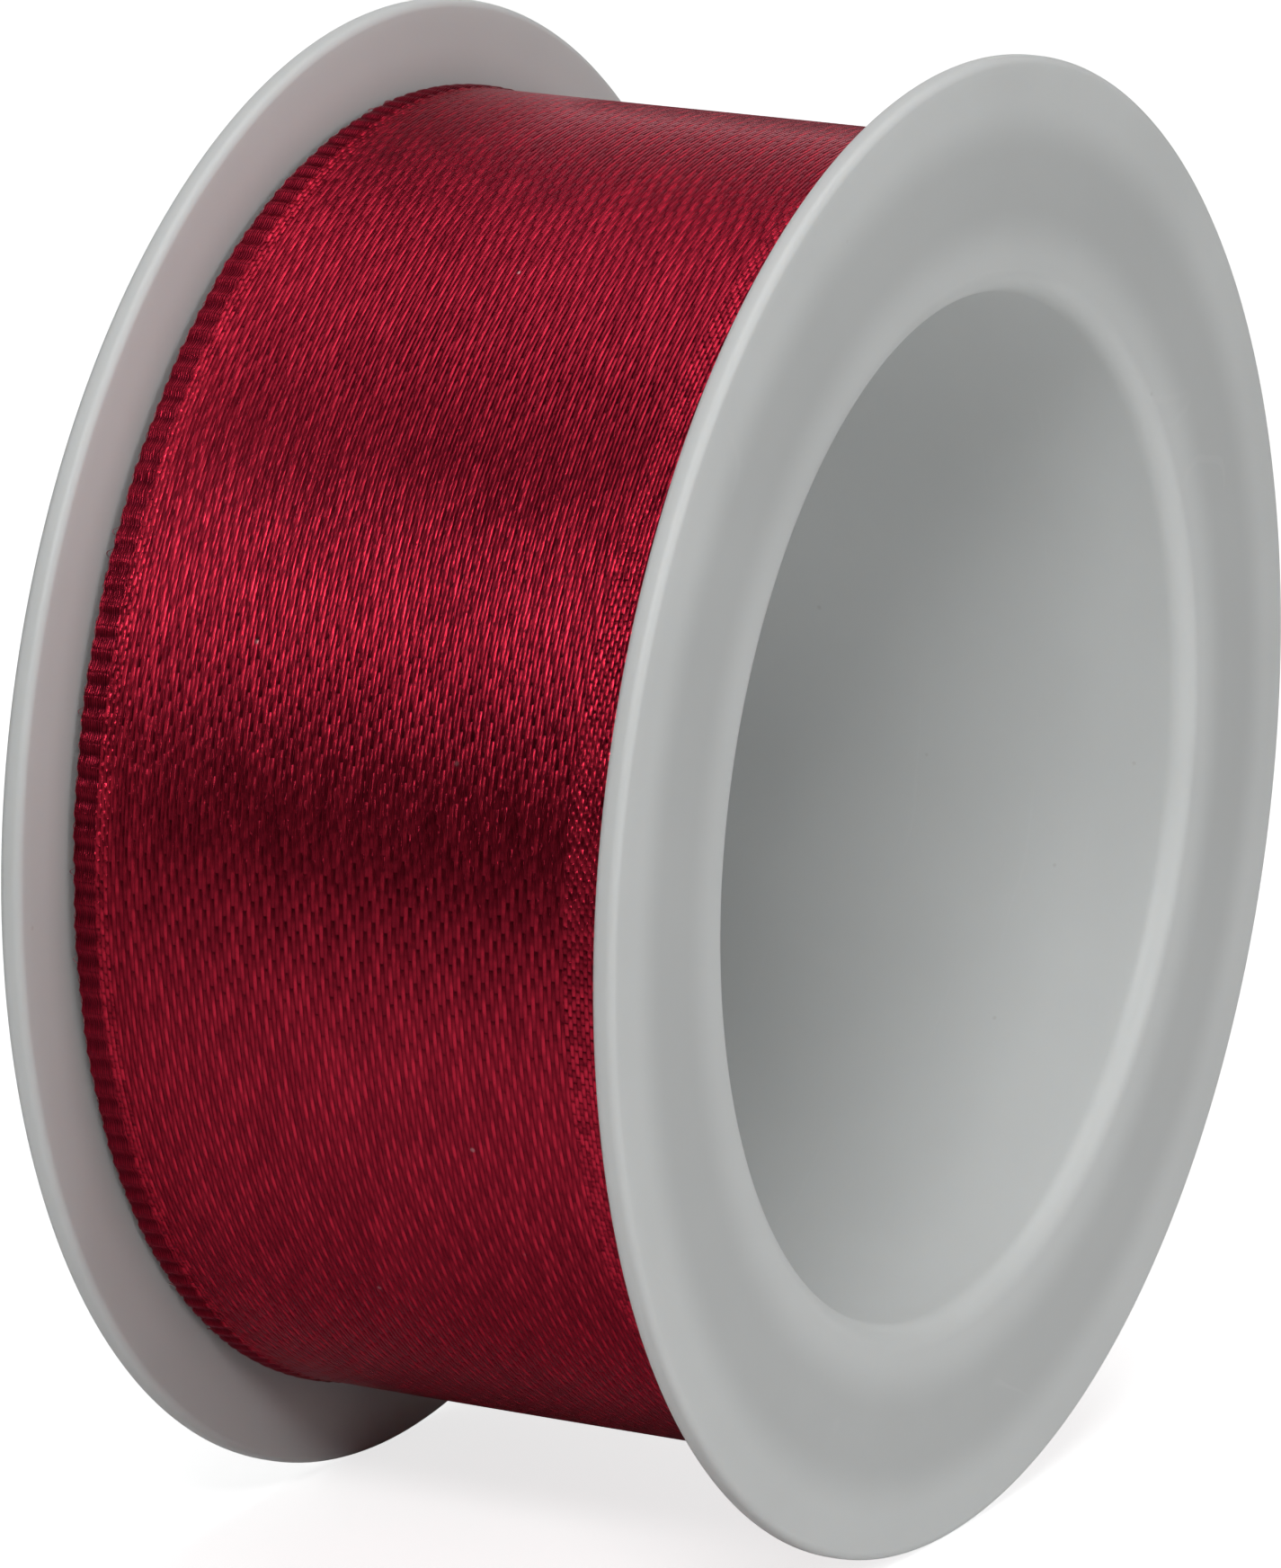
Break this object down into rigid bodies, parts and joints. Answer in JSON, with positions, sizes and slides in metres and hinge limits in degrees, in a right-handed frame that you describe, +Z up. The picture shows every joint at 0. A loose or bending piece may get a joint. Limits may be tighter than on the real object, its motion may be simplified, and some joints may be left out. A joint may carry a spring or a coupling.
{
  "type": "ribbon spool",
  "caption": "Two-part flanged plastic spool standing on its rims, wound with wide satin ribbon whose taped free end peels off the winding.",
  "frame": {"origin": "centre of the spool, on its axis, midway between the flanges' outer faces", "axes": "+Y along the spool's axis from the front flange to the rear flange, +Z up as the spool stands on its rims, +X towards the side where the ribbon's free end lies"},
  "size_m": [0.062, 0.0276, 0.062],
  "materials": {
    "spool_plastic": "satin white moulded polystyrene, slightly translucent",
    "ribbon_satin": "wine red polyester satin with a woven edge",
    "tape_film": "clear adhesive tape"
  },
  "bodies": {
    "spool": {"front_spool_half": "spool_plastic", "rear_spool_half": "spool_plastic", "start_tape": "tape_film", "ribbon_winding": "ribbon_satin", "ribbon_outer_turn": "ribbon_satin"},
    "tail_1": {"ribbon_tail_1": "ribbon_satin"},
    "tail_2": {"ribbon_tail_2": "ribbon_satin"},
    "tail_3": {"ribbon_tail_3": "ribbon_satin"},
    "tail_4": {"ribbon_tail_4": "ribbon_satin", "end_tape": "tape_film"}
  },
  "joints": [
    {"name": "ribbon_end_peel", "type": "hinge", "parent": "spool", "child": "tail_1", "pos_m": [0.01758, 0, 0.02095], "axis": [0, -1, 0], "range_deg": [0, 30]},
    {"name": "ribbon_end_curl_2", "type": "hinge", "parent": "tail_1", "child": "tail_2", "pos_m": [0.0224, 0, 0.01569], "axis": [0, -1, 0], "range_deg": [0, 30]},
    {"name": "ribbon_end_curl_3", "type": "hinge", "parent": "tail_2", "child": "tail_3", "pos_m": [0.0257, 0, 0.00935], "axis": [0, -1, 0], "range_deg": [0, 30]},
    {"name": "ribbon_end_curl_4", "type": "hinge", "parent": "tail_3", "child": "tail_4", "pos_m": [0.02725, 0, 0.00238], "axis": [0, -1, 0], "range_deg": [0, 30]}
  ],
  "couplings": [
    {"joint": "ribbon_end_curl_2", "follows": "ribbon_end_peel", "ratio": 1},
    {"joint": "ribbon_end_curl_3", "follows": "ribbon_end_peel", "ratio": 1},
    {"joint": "ribbon_end_curl_4", "follows": "ribbon_end_peel", "ratio": 1}
  ]
}
